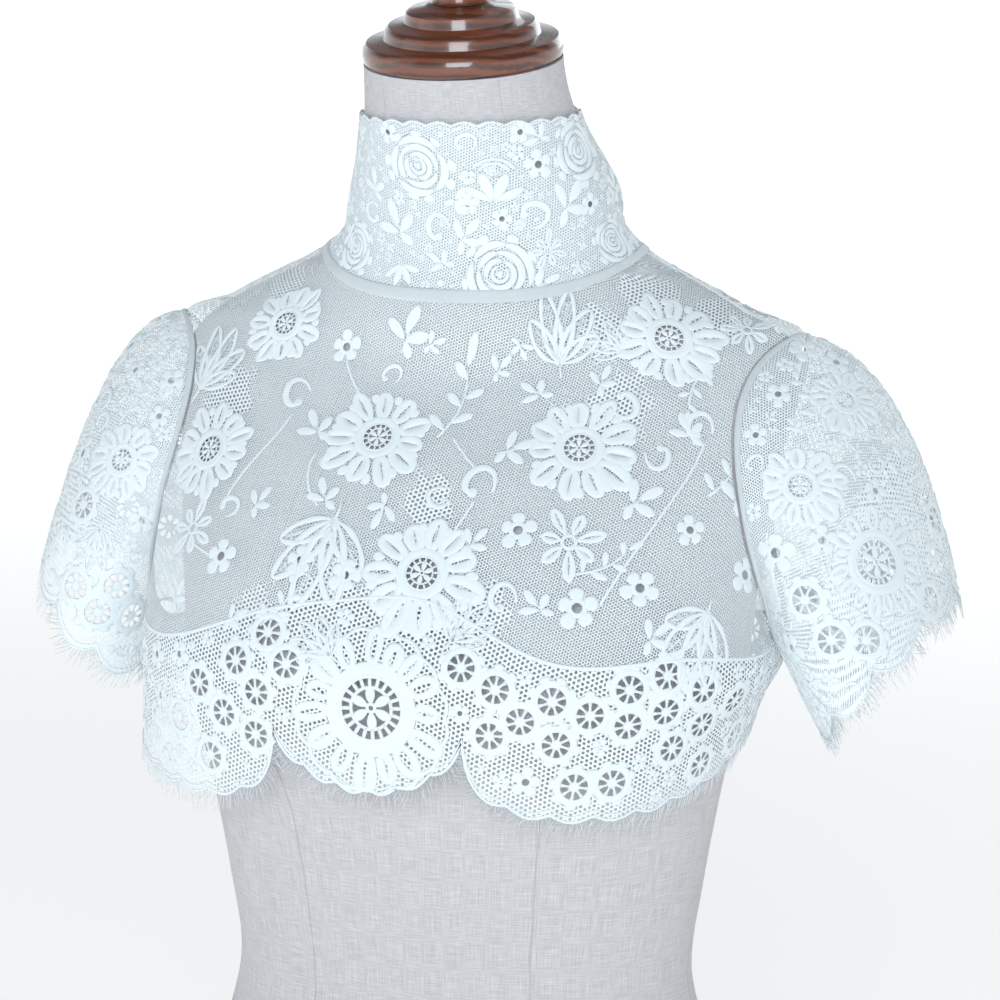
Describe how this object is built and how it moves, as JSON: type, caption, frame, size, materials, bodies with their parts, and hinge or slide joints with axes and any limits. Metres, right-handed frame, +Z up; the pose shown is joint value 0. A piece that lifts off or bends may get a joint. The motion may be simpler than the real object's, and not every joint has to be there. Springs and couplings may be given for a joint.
{
  "type": "cropped high-neck lace top on a limbless dress form",
  "caption": "Cropped white lace top with a stand collar, cap sleeves and scalloped hem, worn by a limbless linen dress form with a turned wooden neck cap.",
  "frame": {"origin": "middle of the dress form's flat base, on the surface it stands on", "axes": "+Z up, the form faces -Y, the wearer's left is +X"},
  "size_m": [0.5039, 0.2457, 0.7569],
  "materials": {
    "lace": "white net ground with dense woven flowers, matt with a slight sheen",
    "tape": "smooth white seam tape",
    "linen": "slubby natural linen, matt",
    "wood": "glossy red-brown varnish",
    "button": "pearly white"
  },
  "bodies": {
    "root": {"front": "lace", "back_left": "lace", "back_right": "lace", "sleeve_left_front": "lace", "sleeve_left_back": "lace", "sleeve_right_front": "lace", "sleeve_right_back": "lace", "collar": "lace", "neck_binding": "tape", "armhole_band_left": "tape", "armhole_band_right": "tape", "collar_button_1": "button", "collar_button_2": "button", "collar_button_3": "button", "dress_form": "linen", "neck_cap": "wood", "cap_knob": "wood"}
  },
  "joints": []
}
